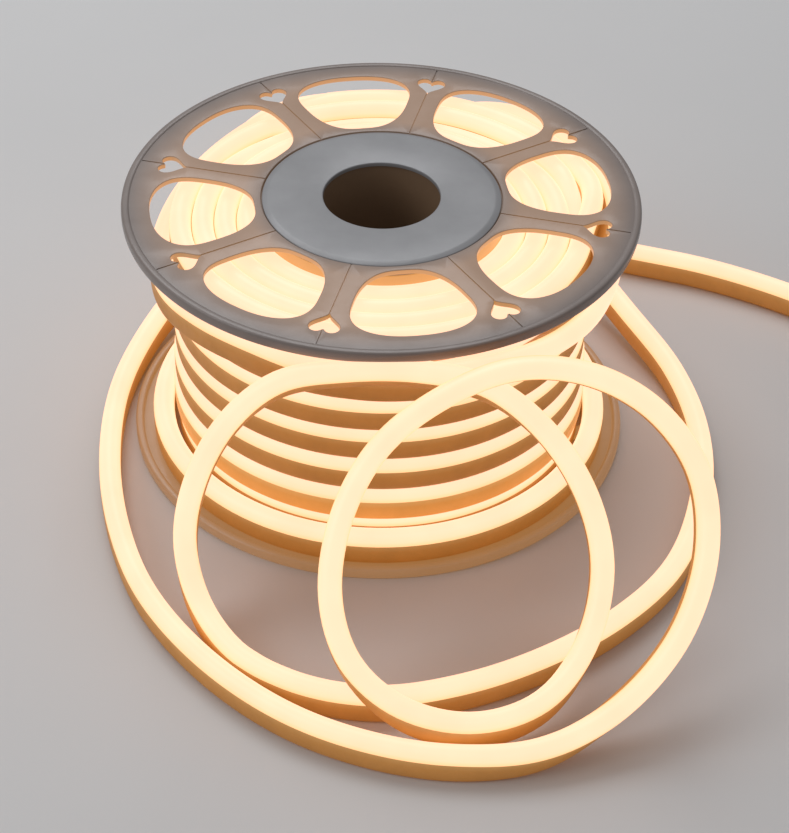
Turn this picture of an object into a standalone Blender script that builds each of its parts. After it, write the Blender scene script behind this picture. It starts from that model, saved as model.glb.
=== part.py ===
"""LED neon strip reel: a moulded two-flange reel wound with a flexible neon strip whose last three
metres lie in loops on the floor. Metres, +Z up, the reel's axis on Z, the floor at Z = 0."""

import math

import bmesh
import bpy
from mathutils import Matrix, Vector

# The strip: an opaque channel with a luminous dome on top
STRIP_WIDTH = 0.0110
CHANNEL_HEIGHT = 0.0115
DOME_HEIGHT = 0.0065
STRIP_HEIGHT = CHANNEL_HEIGHT + DOME_HEIGHT

# How the strip is wound
TURNS = 7
LAYERS = 4
TURN_GAP = 0.0002
LAYER_GAP = 0.0002
LAYER_STEP = 0.0034
FORWARD_SAG = 0.0012
LEAVING_DROP = 0.0129
LEAVING_STAND_OFF = 0.0019
LEAVING_START = (150.0, 195.0)
LEAVING_ROLL = (296.0, 340.0)
LEAVING_END = 347.6
HEADROOM = 0.0070

# Clearance between pieces that touch
FIT = 0.0003

# Flange plates and rims
FLANGE_RADIUS = 0.1300
PLATE_THICKNESS = 0.0028
RIM_PROUD = 0.0006
RIM_WIDTH = 0.0044
RIM_HEIGHT = 0.0040

# Hub, from the winding core inwards
CORE_RADIUS = 0.0617
BARREL_WALL = 0.0035
SPIGOT_WALL = 0.0037
SPIGOT_HEIGHT = 0.0080
HUB_LEDGE = 0.0042
PAD_THICKNESS = 0.0030
CAP_LAP = 0.0100
CAP_THICKNESS = 0.0022
CAP_BEVEL = (0.0028, 0.0010)
CAP_GROOVE = 0.0006
CLIP_WALL = 0.0030
CLIP_LIP = 0.0008
CLIP_TAIL = 0.0025
BORE_RADIUS = 0.0294
BORE_STEP = 0.0010
SPINDLE_WALL = 0.0026
SOCKET_WALL = 0.0027
SOCKET_HEIGHT = 0.0098

# Openings and grooves of a flange
SPOKES = 8
WINDOW_TURN = 9.2
WINDOW_INNER_MARGIN = 0.0034
WINDOW_OUTER_MARGIN = 0.0096
WINDOW_HALF_ANGLE = 17.3
WINDOW_TAPER = 0.07
WINDOW_SQUARENESS = 2.7
WINDOW_POINTS = 20
HEART_WIDTH = 0.0150
HEART_LENGTH = 0.0146
HEART_RIM_DISTANCE = 0.0096
HEART_POINTS = 16
GROOVE_WIDTH = 0.0008
GROOVE_DEPTH = 0.0004

# End cap of the strip
END_CAP_LENGTH = 0.0140
END_CAP_WALL = 0.0009

SEGMENTS = 48

# Sizes that follow
FLANGE_DEPTH = RIM_PROUD + PLATE_THICKNESS
WINDING_BASE = FLANGE_DEPTH + FIT
WINDING_HEIGHT = TURNS * STRIP_HEIGHT + (TURNS - 1) * TURN_GAP
REEL_HEIGHT = 2 * FLANGE_DEPTH + FIT + WINDING_HEIGHT + HEADROOM
WINDING_INNER = CORE_RADIUS + FIT
RIM_INNER = FLANGE_RADIUS - RIM_WIDTH
BARREL_INNER = CORE_RADIUS - BARREL_WALL
SPIGOT_OUTER = BARREL_INNER - FIT
SPIGOT_INNER = SPIGOT_OUTER - SPIGOT_WALL
HUB_HOLE = SPIGOT_INNER - HUB_LEDGE
CAP_RADIUS = HUB_HOLE + CAP_LAP
CAP_SEAT = CAP_THICKNESS + FIT
PAD_TOP = CAP_SEAT + PAD_THICKNESS
BARREL_END = PAD_TOP + FIT
SPINDLE_INNER = BORE_RADIUS + BORE_STEP
SPINDLE_OUTER = SPINDLE_INNER + SPINDLE_WALL
SOCKET_INNER = SPINDLE_OUTER + FIT
WINDOW_INNER = CAP_RADIUS + CAP_GROOVE + WINDOW_INNER_MARGIN
WINDOW_OUTER = RIM_INNER - WINDOW_OUTER_MARGIN

# The free strip's centre line in millimetres, from the winding to the end cap
ROUTE_MM = [
    (114.9, -24.4, 108.0), (117.3, -4.2, 107.6), (114.8, 28.7, 105.6), (87.8, 84.7, 93.0),
    (35.0, 122.1, 73.0), (-32.9, 132.0, 48.0), (-94.0, 107.6, 25.0), (-123.5, 62.0, 13.0),
    (-138.5, 8.4, 9.3), (-138.8, -53.2, 9.3), (-127.8, -110.6, 9.3), (-108.7, -158.1, 9.3),
    (-76.4, -201.6, 9.3), (-38.3, -233.2, 9.3), (1.1, -250.7, 9.3), (39.7, -256.9, 9.3),
    # The right-hand loop, leaning on the reel
    (76.9, -252.7, 12.0), (112.1, -235.2, 24.2), (137.9, -214.5, 48.4), (149.6, -189.2, 78.0),
    (145.1, -165.8, 105.4), (124.9, -148.1, 126.1), (95.3, -138.1, 137.8), (61.8, -137.0, 139.1),
    (28.6, -145.8, 128.7), (0.9, -160.5, 111.6), (-15.8, -180.8, 87.8), (-20.6, -204.3, 60.3),
    (-11.2, -223.5, 36.5), (12.8, -239.7, 22.5), (45.1, -243.1, 15.9), (75.6, -231.9, 19.5),
    # The left-hand loop, tucked between the leaving turn and the upper flange
    (97.6, -203.0, 31.0), (104.6, -178.4, 56.0), (97.2, -157.4, 80.7), (78.4, -138.3, 102.8),
    (51.3, -125.1, 118.3), (18.8, -119.8, 126.6), (-15.8, -120.2, 126.4), (-45.7, -124.8, 119.4),
    (-70.9, -129.4, 100.0), (-87.5, -139.8, 73.0), (-93.0, -152.3, 44.0), (-84.8, -169.8, 20.0),
    (-63.1, -196.0, 9.8), (-31.6, -215.2, 9.3), (3.6, -221.1, 9.3), (39.6, -213.5, 9.3),
    (77.5, -195.9, 9.3), (115.1, -168.5, 9.3), (145.3, -132.3, 9.3), (164.2, -81.5, 9.3),
    # Up over the tail, a loop behind the reel and the tail itself
    (169.5, -28.9, 9.5), (160.7, 23.7, 10.5), (137.8, 68.5, 17.5), (106.0, 125.0, 27.5),
    (82.0, 174.0, 28.5), (62.0, 226.0, 18.0), (34.0, 276.0, 9.6), (-16.0, 300.0, 9.3),
    (-68.0, 284.0, 9.3), (-92.0, 232.0, 9.3), (-64.0, 182.0, 9.3), (6.0, 163.0, 9.3),
    (84.0, 155.0, 9.3), (152.3, 134.7, 9.3), (187.8, 122.7, 9.3), (223.3, 104.9, 9.3),
    (257.8, 81.8, 9.3), (281.5, 61.0, 9.3),
]
ROUTE_STATIONS = 79
ROUTE_BEND_WEIGHT = 0.050


def clear_scene():
    for obj in list(bpy.data.objects):
        bpy.data.objects.remove(obj, do_unlink=True)


def material(name, colour, roughness, glow=0.0):
    """A Principled material, lit from inside where glow is above zero."""
    made = bpy.data.materials.new(name)
    made.use_nodes = True
    shader = made.node_tree.nodes["Principled BSDF"]
    shader.inputs["Base Color"].default_value = (*colour, 1.0)
    shader.inputs["Roughness"].default_value = roughness
    shader.inputs["Metallic"].default_value = 0.0
    shader.inputs["Emission Color"].default_value = (*colour, 1.0)
    shader.inputs["Emission Strength"].default_value = glow
    return made


def add_object(name, mesh, finish=None):
    """An object in the scene that holds this mesh."""
    obj = bpy.data.objects.new(name, mesh)
    bpy.context.scene.collection.objects.link(obj)
    if finish:
        mesh.materials.append(finish)
        mesh.shade_smooth()
        mesh.set_sharp_from_angle(angle=math.radians(32))
    return obj


def mesh_of(name, points, faces):
    """A closed mesh with its faces turned outwards."""
    mesh = bpy.data.meshes.new(name)
    mesh.from_pydata(points, [], faces)
    work = bmesh.new()
    work.from_mesh(mesh)
    bmesh.ops.recalc_face_normals(work, faces=work.faces)
    work.to_mesh(mesh)
    work.free()
    return mesh


def revolved(name, profile_at, angles):
    """A closed ring: profile_at(angle) gives the section's (radius, height) points at each angle."""
    sections = [profile_at(angle) for angle in angles]
    count = len(sections[0])
    points = []
    for angle, section in zip(angles, sections):
        turn = math.radians(angle)
        points += [(r * math.cos(turn), r * math.sin(turn), z) for r, z in section]
    faces = []
    for i in range(len(angles)):
        here, there = i * count, (i + 1) % len(angles) * count
        for j in range(count):
            k = (j + 1) % count
            faces.append((here + j, there + j, there + k, here + k))
    return mesh_of(name, points, faces)


def turned(name, profile):
    """A turned piece: the same section all the way round."""
    step = 360.0 / SEGMENTS
    return revolved(name, lambda _: profile, [step * i for i in range(SEGMENTS)])


def rim_section():
    """The flange's rounded rim, from the plate's outer face round to its inner face."""
    middle_r, middle_z = FLANGE_RADIUS - RIM_WIDTH / 2, RIM_HEIGHT / 2
    points = []
    for degrees in (-140, -100, -60, -22, 22, 60, 105):
        a = math.radians(degrees)
        across = math.copysign(abs(math.cos(a)) ** 0.6, math.cos(a))
        along = math.copysign(abs(math.sin(a)) ** 0.6, math.sin(a))
        points.append((middle_r + RIM_WIDTH / 2 * across, middle_z + RIM_HEIGHT / 2 * along))
    return points


def flange_profile():
    """Section of one flange, its outer face down: seat for the cap, plate, rim, pad and spigot."""
    return [
        (HUB_HOLE, CAP_SEAT),
        (CAP_RADIUS + CAP_GROOVE, CAP_SEAT),
        (CAP_RADIUS + CAP_GROOVE, RIM_PROUD),
        (RIM_INNER, RIM_PROUD),
        *rim_section(),
        (RIM_INNER, FLANGE_DEPTH),
        (CORE_RADIUS, FLANGE_DEPTH),
        (CORE_RADIUS, PAD_TOP),
        (SPIGOT_OUTER, PAD_TOP),
        (SPIGOT_OUTER, PAD_TOP + SPIGOT_HEIGHT),
        (SPIGOT_INNER, PAD_TOP + SPIGOT_HEIGHT),
        (SPIGOT_INNER, PAD_TOP),
        (HUB_HOLE, PAD_TOP),
    ]


def window_outline():
    """One window about +X: a rounded trapezoid between two radii, wider towards the rim."""
    middle = (WINDOW_INNER + WINDOW_OUTER) / 2
    half = (WINDOW_OUTER - WINDOW_INNER) / 2
    outline = []
    for i in range(WINDOW_POINTS):
        t = 2 * math.pi * (i + 0.5) / WINDOW_POINTS
        along = math.copysign(abs(math.cos(t)) ** (2 / WINDOW_SQUARENESS), math.cos(t))
        across = math.copysign(abs(math.sin(t)) ** (2 / WINDOW_SQUARENESS), math.sin(t))
        r = middle + half * along
        a = math.radians(WINDOW_HALF_ANGLE * (1 + WINDOW_TAPER * along) * across)
        outline.append(Vector((r * math.cos(a), r * math.sin(a))))
    return outline


def heart_outline():
    """One heart about +X, its tip towards the hub and its lobes towards the rim."""
    raw = []
    for i in range(HEART_POINTS):
        t = 2 * math.pi * i / HEART_POINTS
        along = 13 * math.cos(t) - 5 * math.cos(2 * t) - 2 * math.cos(3 * t) - math.cos(4 * t)
        raw.append((along, 16 * math.sin(t) ** 3))
    low, high = min(p[0] for p in raw), max(p[0] for p in raw)
    outer = RIM_INNER - HEART_RIM_DISTANCE
    scale = HEART_LENGTH / (high - low)
    return [Vector((outer + (a - high) * scale, b * HEART_WIDTH / 32)) for a, b in raw]


def prism(outline, turn_degrees, low, high):
    """Points and faces of an upright prism on an outline, turned about the Z axis."""
    spin = Matrix.Rotation(math.radians(turn_degrees), 2)
    base = [spin @ p for p in outline]
    n = len(base)
    points = [(p.x, p.y, low) for p in base] + [(p.x, p.y, high) for p in base]
    faces = [tuple(reversed(range(n))), tuple(range(n, 2 * n))]
    faces += [(i, (i + 1) % n, n + (i + 1) % n, n + i) for i in range(n)]
    return points, faces


def cutter(name, outlines, low, high):
    """A hidden mesh of one prism for each (outline, turn) pair."""
    points, faces = [], []
    for outline, turn_degrees in outlines:
        more, sides = prism(outline, turn_degrees, low, high)
        faces += [tuple(len(points) + i for i in side) for side in sides]
        points += more
    obj = add_object(name, mesh_of(name, points, faces))
    obj.hide_render = True
    obj.display_type = "WIRE"
    return obj


def bar_outline(inner, outer):
    half = GROOVE_WIDTH / 2
    return [Vector(p) for p in ((inner, -half), (outer, -half), (outer, half), (inner, half))]


def flange_cutters():
    """The cutters of the eight windows, hearts and radial grooves, in a flange's own frame."""
    pitch = 360.0 / SPOKES
    heart = heart_outline()
    tip = min(p.x for p in heart)
    notch = heart[0].x
    bars = (bar_outline(CAP_RADIUS, tip + GROOVE_WIDTH), bar_outline(notch - GROOVE_WIDTH, RIM_INNER))
    through = [(window_outline(), pitch * i) for i in range(SPOKES)]
    through += [(heart, pitch * (i + 0.5)) for i in range(SPOKES)]
    grooves = [(bar, pitch * (i + 0.5)) for i in range(SPOKES) for bar in bars]
    beyond = RIM_HEIGHT
    return (
        cutter("flange_openings", through, -beyond, FLANGE_DEPTH + beyond),
        cutter("flange_grooves", grooves, -beyond, RIM_PROUD + GROOVE_DEPTH),
    )


def add_flange(name, cutters, place, finish):
    """A flange at its place on the reel, with its openings cut by live Booleans."""
    obj = add_object(name, turned(name, flange_profile()), finish)
    for tool in cutters:
        tool_here = tool.copy()
        tool_here.name = f"{name}_{tool.name}"
        bpy.context.scene.collection.objects.link(tool_here)
        tool_here.parent = obj
        cut = obj.modifiers.new(tool.name, "BOOLEAN")
        cut.object = tool_here
        cut.solver = "EXACT"
    obj.matrix_world = place
    return obj


def cap_profile():
    """Section of a hub cap, its outer face down: bevelled disc, snap collar and tube socket."""
    width, depth = CAP_BEVEL
    clip_outer = HUB_HOLE - FIT
    clip_inner = clip_outer - CLIP_WALL
    catch = PAD_TOP + FIT
    socket_outer = SOCKET_INNER + SOCKET_WALL
    return [
        (BORE_RADIUS, 0.0),
        (CAP_RADIUS - width, 0.0),
        (CAP_RADIUS, depth),
        (CAP_RADIUS, CAP_THICKNESS),
        (clip_outer, CAP_THICKNESS),
        (clip_outer, catch),
        (clip_outer + CLIP_LIP, catch + CLIP_LIP),
        (clip_outer, catch + CLIP_TAIL),
        (clip_inner, catch + CLIP_TAIL),
        (clip_inner, CAP_THICKNESS),
        (socket_outer, CAP_THICKNESS),
        (socket_outer, CAP_THICKNESS + SOCKET_HEIGHT),
        (SOCKET_INNER, CAP_THICKNESS + SOCKET_HEIGHT),
        (SOCKET_INNER, CAP_THICKNESS),
        (BORE_RADIUS, CAP_THICKNESS),
    ]


def sleeve(inner, outer, low, high):
    return [(inner, low), (outer, low), (outer, high), (inner, high)]


def dome_arc(inner, outer, shoulder, degrees):
    """Points on the luminous dome over a turn's channel, from its outer shoulder at 0 degrees."""
    middle, half = (inner + outer) / 2, (outer - inner) / 2
    angles = [math.radians(d) for d in degrees]
    return [(middle + half * math.cos(a), shoulder + DOME_HEIGHT * math.sin(a)) for a in angles]


def layer_radii(layer):
    inner = WINDING_INNER + layer * (STRIP_WIDTH + LAYER_GAP)
    return inner, inner + STRIP_WIDTH


def turn_base(turn):
    return WINDING_BASE + turn * (STRIP_HEIGHT + TURN_GAP)


def smooth(low, high, value):
    share = min(max((value - low) / (high - low), 0.0), 1.0)
    return share * share * (3 - 2 * share)


def mixed(first, second, share):
    return [(a + (c - a) * share, b + (d - b) * share) for (a, b), (c, d) in zip(first, second)]


def leaving_turn(angle):
    """The seven points beside the top turns, where the last turn lies outside the winding."""
    outer = layer_radii(LAYERS - 1)[1]
    far_inner, far_outer = layer_radii(LAYERS)
    below, above = turn_base(TURNS - 2), turn_base(TURNS - 1)
    top = WINDING_BASE + WINDING_HEIGHT - LEAVING_DROP
    base = top - STRIP_HEIGHT
    inner = layer_radii(LAYERS - 1)[0]
    bare = [
        (outer, base),
        (outer, below + 0.8 * CHANNEL_HEIGHT),
        *dome_arc(inner, outer, below + CHANNEL_HEIGHT, (0, 40, 78)),
        (outer, above),
        (outer, above + 0.35 * CHANNEL_HEIGHT),
    ]
    upright = [
        (outer, base),
        (far_outer, base),
        *dome_arc(far_inner, far_outer, base + CHANNEL_HEIGHT, (0, 45, 90, 150)),
        (outer, base + CHANNEL_HEIGHT + 0.45 * DOME_HEIGHT),
    ]
    middle = base + STRIP_HEIGHT / 2 - FIT
    back = outer + LEAVING_STAND_OFF
    half = STRIP_WIDTH / 2
    rolled = [(outer, middle - half), (back + CHANNEL_HEIGHT, middle - half)]
    for degrees in (-45, 0, 45):
        a = math.radians(degrees)
        reach = back + CHANNEL_HEIGHT + DOME_HEIGHT * math.cos(a)
        rolled.append((reach, middle + half * math.sin(a)))
    rolled += [(back + CHANNEL_HEIGHT, middle + half), (outer, middle + half)]
    if angle >= LEAVING_END:
        return bare
    bent = mixed(upright, rolled, smooth(*LEAVING_ROLL, angle))
    return mixed(bare, bent, smooth(*LEAVING_START, angle))


def winding_profile(angle):
    """Section of the wound strip: a row of domed turns, the wide bottom turn and the last turn."""
    inner, outer = layer_radii(LAYERS - 1)
    far_inner, far_outer = layer_radii(LAYERS)
    shoulder = WINDING_BASE + CHANNEL_HEIGHT
    points = [(WINDING_INNER, WINDING_BASE), (far_outer, WINDING_BASE)]
    points += dome_arc(far_inner, far_outer, shoulder, (0, 45, 90, 150))
    for turn in range(1, TURNS - 2):
        points.append((outer, turn_base(turn)))
        points += dome_arc(inner, outer, turn_base(turn) + CHANNEL_HEIGHT, (0, 40, 78))
    points.append((outer, turn_base(TURNS - 2)))
    points += leaving_turn(angle)
    shoulder = turn_base(TURNS - 1) + CHANNEL_HEIGHT
    points += dome_arc(inner, outer, shoulder, (0, 45, 90, 155))
    for layer in reversed(range(LAYERS - 1)):
        drop = LAYER_STEP * (LAYERS - 1 - layer)
        points += dome_arc(*layer_radii(layer), shoulder - drop, (20, 90, 165))
    points.append((WINDING_INNER, shoulder - LAYER_STEP * (LAYERS - 1)))
    sag = -FORWARD_SAG * math.sin(math.radians(angle))
    span = outer - WINDING_INNER
    return [(r + sag * (r - WINDING_INNER) / span, z) for r, z in points]


def winding_angles():
    """Even steps round the winding, with a close pair at the end face of the leaving turn."""
    step = 360.0 / SEGMENTS
    angles = [step * i for i in range(SEGMENTS)]
    near = step / 3
    angles = [a for a in angles if not LEAVING_END - near < a < LEAVING_END + near]
    return sorted([*angles, LEAVING_END - 0.1, LEAVING_END])


def curve_through(points, steps):
    """Samples of a centripetal Catmull-Rom curve through the points, as many between each two."""
    ends = [2 * points[0] - points[1], *points, 2 * points[-1] - points[-2]]
    samples = []
    for p0, p1, p2, p3 in zip(ends, ends[1:], ends[2:], ends[3:]):
        t1 = math.sqrt((p1 - p0).length)
        t2 = t1 + math.sqrt((p2 - p1).length)
        t3 = t2 + math.sqrt((p3 - p2).length)
        for k in range(steps):
            t = t1 + (t2 - t1) * k / steps
            a1 = p0.lerp(p1, t / t1)
            a2 = p1.lerp(p2, (t - t1) / (t2 - t1))
            a3 = p2.lerp(p3, (t - t2) / (t3 - t2))
            b1 = a1.lerp(a2, t / t2)
            b2 = a2.lerp(a3, (t - t1) / (t3 - t1))
            samples.append(b1.lerp(b2, (t - t1) / (t2 - t1)))
    return [*samples, points[-1]]


def stations_on(curve, count):
    """Points read off a fine curve, closer together where it bends more."""
    measure, heading = [0.0], None
    for a, b in zip(curve, curve[1:]):
        step = b - a
        turn = step.angle(heading) if heading else 0.0
        measure.append(measure[-1] + step.length + ROUTE_BEND_WEIGHT * turn)
        heading = step
    chosen, i = [], 0
    for k in range(count):
        wanted = measure[-1] * k / (count - 1)
        while i < len(curve) - 2 and measure[i + 1] < wanted:
            i += 1
        share = (wanted - measure[i]) / (measure[i + 1] - measure[i])
        chosen.append(curve[i].lerp(curve[i + 1], min(share, 1.0)))
    return chosen


def add_free_strip(name, finish):
    """The strip that lies free, as a plain tube along its route."""
    route = [Vector(p) / 1000 for p in ROUTE_MM]
    stations = stations_on(curve_through(route, 12), ROUTE_STATIONS)
    data = bpy.data.curves.new(name, "CURVE")
    data.dimensions = "3D"
    data.bevel_depth = STRIP_WIDTH / 2
    data.bevel_resolution = 2
    data.use_fill_caps = True
    spline = data.splines.new("POLY")
    spline.points.add(len(stations) - 1)
    for point, station in zip(spline.points, stations):
        point.co = (*station, 1.0)
    data.materials.append(finish)
    obj = bpy.data.objects.new(name, data)
    bpy.context.scene.collection.objects.link(obj)
    return stations


def add_end_cap(name, stations, finish):
    """The moulded cap on the strip's far end, standing on the floor."""
    heading = (stations[-1] - stations[-2]).normalized()
    width, height = STRIP_WIDTH + 2 * END_CAP_WALL, STRIP_HEIGHT + END_CAP_WALL
    mesh = bpy.data.meshes.new(name)
    work = bmesh.new()
    bmesh.ops.create_cube(work, size=1.0)
    bmesh.ops.scale(work, vec=(END_CAP_LENGTH, width, height), verts=work.verts)
    uprights = [e for e in work.edges if abs(e.verts[0].co.z - e.verts[1].co.z) > height / 2]
    upper = [e for e in work.edges if min(v.co.z for v in e.verts) > 0]
    bmesh.ops.bevel(work, geom=uprights + upper, offset=0.0022, segments=3, affect="EDGES")
    work.to_mesh(mesh)
    work.free()
    obj = add_object(name, mesh, finish)
    flat = Vector((heading.x, heading.y, 0.0)).normalized()
    middle = stations[-1] + flat * (FIT + END_CAP_LENGTH / 2)
    obj.location = (middle.x, middle.y, height / 2 + FIT / 3)
    obj.rotation_euler = (0.0, 0.0, math.atan2(flat.y, flat.x))
    return obj


def build():
    clear_scene()
    plastic = material("flange_plastic", (0.235, 0.195, 0.175), 0.55)
    grey = material("cap_plastic", (0.205, 0.205, 0.215), 0.45)
    core = material("core_plastic", (0.260, 0.215, 0.190), 0.60)
    neon = material("neon_silicone", (1.000, 0.860, 0.610), 0.40, glow=1.0)
    white = material("end_cap_silicone", (0.780, 0.760, 0.720), 0.45)

    upright = Matrix.Rotation(math.radians(WINDOW_TURN), 4, "Z")
    turned_over = upright @ Matrix.Rotation(math.pi, 4, "X")
    top = Matrix.Translation((0.0, 0.0, REEL_HEIGHT))
    cutters = flange_cutters()
    add_flange("lower_flange", cutters, upright, plastic)
    add_flange("upper_flange", cutters, top @ turned_over, plastic)
    for tool in cutters:
        bpy.data.objects.remove(tool, do_unlink=True)
    add_object("lower_hub_cap", turned("lower_hub_cap", cap_profile()), grey)
    upper_cap = add_object("upper_hub_cap", turned("upper_hub_cap", cap_profile()), grey)
    upper_cap.matrix_world = top @ Matrix.Rotation(math.pi, 4, "X")

    barrel = sleeve(BARREL_INNER, CORE_RADIUS, BARREL_END, REEL_HEIGHT - BARREL_END)
    add_object("winding_barrel", turned("winding_barrel", barrel), core)
    spindle = sleeve(SPINDLE_INNER, SPINDLE_OUTER, CAP_SEAT, REEL_HEIGHT - CAP_SEAT)
    add_object("spindle_tube", turned("spindle_tube", spindle), core)
    winding = revolved("wound_strip", winding_profile, winding_angles())
    add_object("wound_strip", winding, neon)
    stations = add_free_strip("free_strip", neon)
    add_end_cap("strip_end_cap", stations, white)


build()
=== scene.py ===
"""Looks of a reel of LED neon strip: mouldings, wound and free strip, and the studio."""

import math

import bmesh
import bpy
from bpy.props import FloatProperty, FloatVectorProperty, IntProperty, PointerProperty
from mathutils import Matrix, Vector
from mathutils.geometry import delaunay_2d_cdt


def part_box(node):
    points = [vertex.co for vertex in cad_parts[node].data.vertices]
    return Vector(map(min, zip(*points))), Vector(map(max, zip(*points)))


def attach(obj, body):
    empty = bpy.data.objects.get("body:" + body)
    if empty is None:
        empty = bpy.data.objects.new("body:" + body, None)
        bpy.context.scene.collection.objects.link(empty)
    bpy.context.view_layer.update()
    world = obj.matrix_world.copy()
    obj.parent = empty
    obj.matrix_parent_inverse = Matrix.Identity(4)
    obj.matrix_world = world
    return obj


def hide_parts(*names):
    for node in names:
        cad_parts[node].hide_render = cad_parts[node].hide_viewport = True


bl_info = {
    "name": "Neon Strip Reel",
    "version": (1, 0, 0),
    "blender": (4, 5, 0),
    "location": "View3D > Sidebar > Neon Reel",
    "description": "Builds the looks of a reel of LED neon strip on its packed frame",
    "category": "Object",
}

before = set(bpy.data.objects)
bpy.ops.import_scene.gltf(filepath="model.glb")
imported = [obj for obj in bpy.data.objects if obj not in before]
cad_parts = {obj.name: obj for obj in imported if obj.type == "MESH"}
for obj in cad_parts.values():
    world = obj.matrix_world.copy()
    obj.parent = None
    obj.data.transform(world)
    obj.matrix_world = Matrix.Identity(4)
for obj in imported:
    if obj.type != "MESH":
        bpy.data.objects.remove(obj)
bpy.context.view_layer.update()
REEL_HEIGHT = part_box("upper_hub_cap")[1][2]
TURNED_OVER = Matrix.Translation((0.0, 0.0, REEL_HEIGHT)) @ Matrix.Rotation(math.pi, 4, "X")
FIT = 0.0003

# Lengths in metres that go with the barrel and the flanges' openings
FIRST_LAYER = 0.0620
LAYER_GAP = 0.0002
HUB_MARGIN = 0.0034
RIM_MARGIN = 0.0096
GROOVE_HALF = 0.0004
GROOVE_DEPTH = 0.0005

# The free strip's centre line in millimetres, with the way its dome faces at each point
UP = (0.0, 0.0, 1.0)
LEAN = (0.0, -0.76, 0.65)
ROUTE = [
    # Off the leaving turn, under the upper flange and down behind the reel
    ((112.1, -24.6, 115.0), (0.86, -0.19, 0.47)),
    ((118.2, 8.3, 120.5), (0.57, 0.04, 0.82)),
    ((115.6, 42.1, 125.2), UP),
    ((94.4, 79.2, 125.4), UP),
    ((61.9, 107.1, 121.0), UP),
    ((26.5, 122.5, 105.5), (0.02, 0.14, 0.99)),
    ((-13.2, 128.0, 82.0), (-0.03, 0.30, 0.95)),
    ((-51.5, 122.5, 56.0), (-0.14, 0.40, 0.91)),
    ((-85.0, 108.5, 33.5), (-0.22, 0.36, 0.91)),
    ((-107.5, 86.5, 19.5), (-0.16, 0.18, 0.97)),
    # Round the left of the reel on the floor
    ((-123.5, 62.0, 13.0), UP),
    ((-138.5, 8.4, 9.3), UP),
    ((-138.8, -53.2, 9.3), UP),
    ((-127.8, -110.6, 9.3), UP),
    ((-108.7, -158.1, 9.3), UP),
    ((-76.4, -201.6, 9.3), UP),
    ((-38.3, -233.2, 9.3), UP),
    ((1.1, -250.7, 9.3), UP),
    ((39.7, -256.9, 9.3), UP),
    # The right-hand loop, leaning on the reel
    ((76.9, -252.7, 12.0), (0.0, -0.24, 0.97)),
    ((112.1, -235.2, 24.2), LEAN),
    ((137.9, -214.5, 48.4), LEAN),
    ((149.6, -189.2, 78.0), LEAN),
    ((145.1, -165.8, 105.4), LEAN),
    ((124.9, -148.1, 126.1), LEAN),
    ((95.3, -138.1, 137.8), LEAN),
    ((61.8, -137.0, 139.1), LEAN),
    ((28.6, -145.8, 128.7), LEAN),
    ((0.9, -160.5, 111.6), LEAN),
    ((-15.8, -180.8, 87.8), LEAN),
    ((-20.6, -204.3, 60.3), LEAN),
    ((-11.2, -223.5, 36.5), (0.0, -0.51, 0.86)),
    ((12.8, -239.7, 22.5), (0.0, -0.20, 0.98)),
    ((45.1, -243.1, 15.9), UP),
    ((75.6, -231.9, 19.5), (0.0, -0.20, 0.98)),
    # The left-hand loop, tucked between the leaving turn and the upper flange
    ((97.6, -203.0, 31.0), (0.0, -0.57, 0.82)),
    ((104.6, -178.4, 56.0), LEAN),
    ((97.2, -157.4, 80.7), LEAN),
    ((78.4, -138.3, 102.8), LEAN),
    ((51.3, -127.2, 119.9), (0.0, -0.60, 0.80)),
    ((18.8, -126.3, 127.8), (0.0, -0.60, 0.80)),
    ((-15.8, -126.4, 127.5), (0.0, -0.60, 0.80)),
    ((-45.7, -126.6, 120.9), (0.0, -0.60, 0.80)),
    ((-69.5, -129.4, 100.0), (0.0, -0.71, 0.71)),
    ((-85.3, -139.8, 73.0), (0.0, -0.71, 0.71)),
    ((-90.8, -152.3, 44.0), (0.0, -0.57, 0.82)),
    ((-83.5, -169.8, 20.0), (0.0, -0.20, 0.98)),
    ((-63.1, -196.0, 9.8), UP),
    ((-31.6, -215.2, 9.3), UP),
    ((3.6, -221.1, 9.3), UP),
    ((39.6, -213.5, 9.3), UP),
    ((77.5, -195.9, 9.3), UP),
    ((115.1, -168.5, 9.3), UP),
    ((145.3, -132.3, 9.3), UP),
    ((164.2, -81.5, 9.3), UP),
    # Up over the tail, a loop behind the reel and the tail itself
    ((169.5, -28.9, 9.5), UP),
    ((160.7, 23.7, 10.5), UP),
    ((137.8, 68.5, 17.5), UP),
    ((106.0, 125.0, 27.5), UP),
    ((82.0, 174.0, 28.5), UP),
    ((62.0, 226.0, 18.0), UP),
    ((34.0, 276.0, 9.6), UP),
    ((-16.0, 300.0, 9.3), UP),
    ((-68.0, 284.0, 9.3), UP),
    ((-92.0, 232.0, 9.3), UP),
    ((-64.0, 182.0, 9.3), UP),
    ((6.0, 163.0, 9.3), UP),
    ((84.0, 155.0, 9.3), UP),
    ((152.3, 134.7, 9.3), UP),
    ((187.8, 122.7, 9.3), UP),
    ((223.3, 104.9, 9.3), UP),
    ((257.8, 81.8, 9.3), UP),
    ((281.5, 61.0, 9.3), UP),
]

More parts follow.
